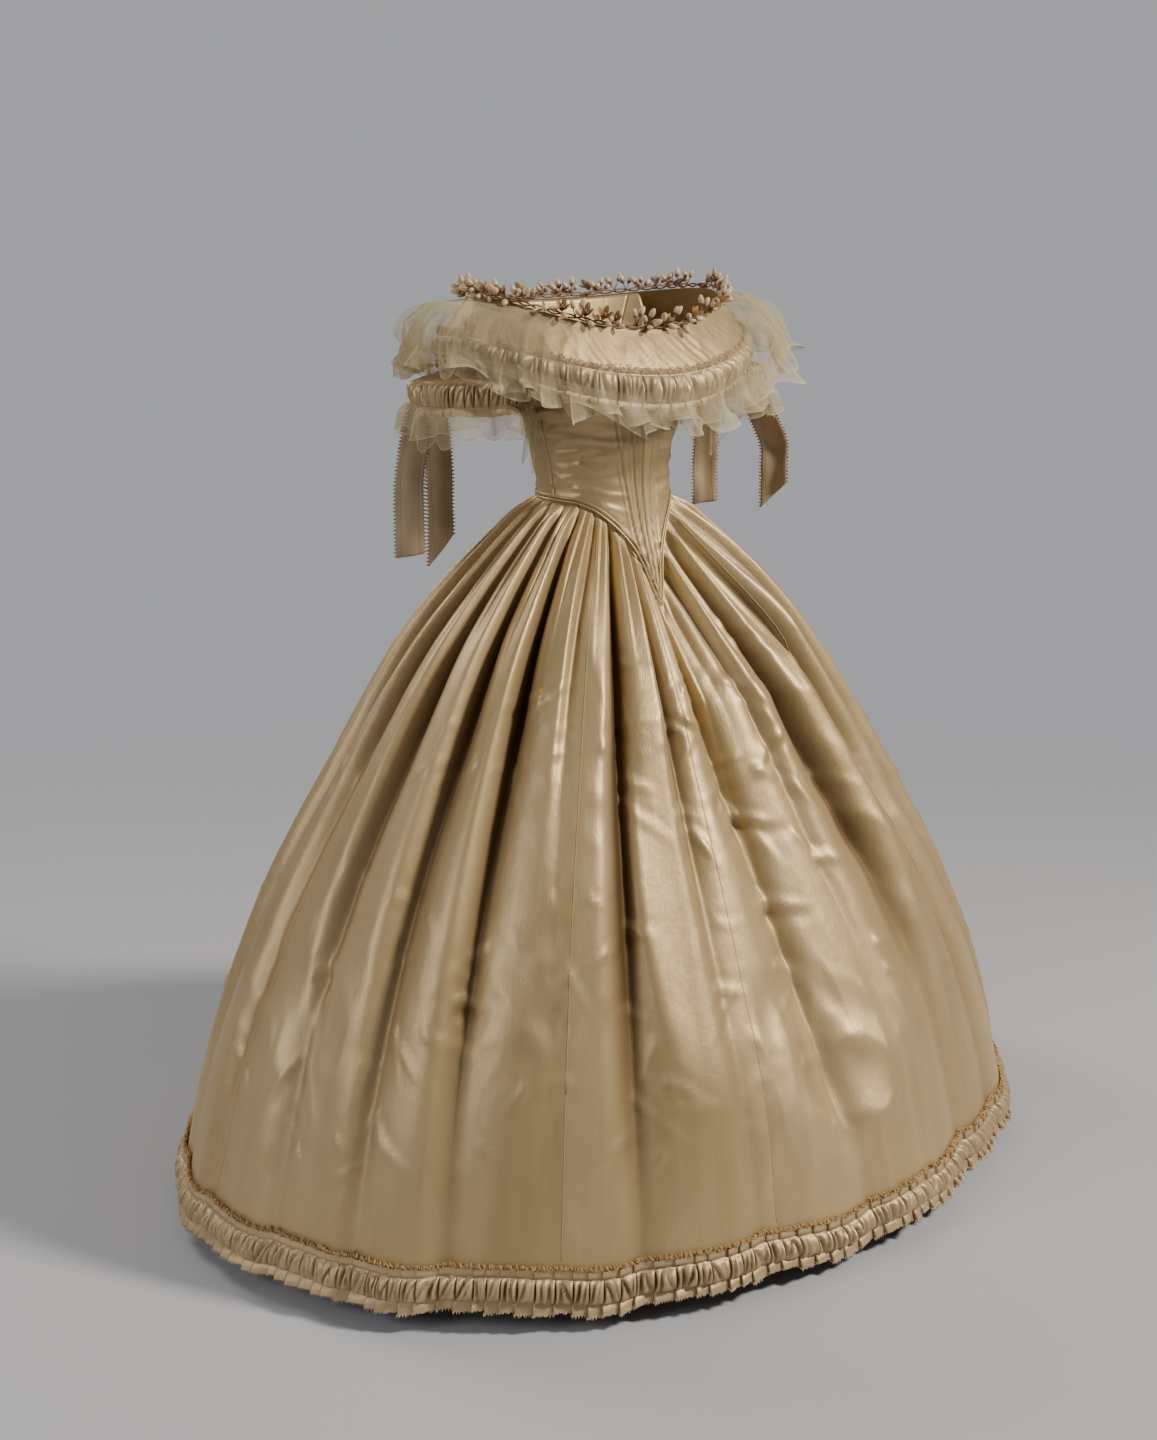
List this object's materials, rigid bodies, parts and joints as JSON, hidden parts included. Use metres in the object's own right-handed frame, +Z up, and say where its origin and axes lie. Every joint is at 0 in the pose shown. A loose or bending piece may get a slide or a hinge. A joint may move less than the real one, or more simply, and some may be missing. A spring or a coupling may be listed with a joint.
{
  "type": "wedding dress",
  "caption": "Off-the-shoulder satin gown with a pointed bodice, net and ruched-ribbon trim, short sleeves with streamers and a pleated bell skirt.",
  "frame": {"origin": "centre of the waist, where the wearer's body holds the dress up", "axes": "+Z up, +X towards the wearer's left, -Y towards the front"},
  "size_m": [1.4894, 1.1677, 1.351],
  "materials": {
    "satin": "champagne silk satin, glossy",
    "satin_trim": "ruched satin ribbon with looped golden edging",
    "net": "fine cream silk net, sheer",
    "ribbon": "woven silk ribbon with picot edges",
    "wax_flower": "wax orange blossom with brown stems, satin sheen"
  },
  "bodies": {
    "root": {"skirt_back_right": "satin", "skirt_side_back_right": "satin", "skirt_side_right": "satin", "skirt_front_right": "satin", "skirt_front": "satin", "skirt_front_left": "satin", "skirt_side_back_left": "satin", "skirt_back_left": "satin", "hem_ruching_1": "satin_trim", "hem_ruching_2": "satin_trim", "hem_ruching_3": "satin_trim", "hem_ruching_4": "satin_trim", "hem_ruching_5": "satin_trim", "hem_ruching_6": "satin_trim", "hem_ruching_7": "satin_trim", "hem_ruching_8": "satin_trim", "bodice_front_right": "satin", "bodice_front_left": "satin", "bodice_side_back_left": "satin", "bodice_back_left": "satin", "bodice_back_right": "satin", "bodice_side_back_right": "satin", "waist_piping": "satin_trim", "bertha_front": "satin", "bertha_ruching_front": "satin_trim", "net_drape_front": "net", "bertha_left": "satin", "bertha_ruching_left": "satin_trim", "net_drape_left": "net", "bertha_back": "satin", "bertha_ruching_back": "satin_trim", "net_drape_back": "net", "bertha_right": "satin", "bertha_ruching_right": "satin_trim", "net_drape_right": "net", "sleeve_left": "satin", "sleeve_ruching_left": "satin_trim", "sleeve_frill_left": "net", "streamer_back_left": "ribbon", "streamer_outer_left": "ribbon", "sleeve_right": "satin", "sleeve_ruching_right": "satin_trim", "sleeve_frill_right": "net", "streamer_back_right": "ribbon", "streamer_outer_right": "ribbon", "garland_1": "wax_flower", "garland_2": "wax_flower", "garland_3": "wax_flower", "garland_4": "wax_flower", "garland_5": "wax_flower", "garland_6": "wax_flower"}
  },
  "joints": []
}
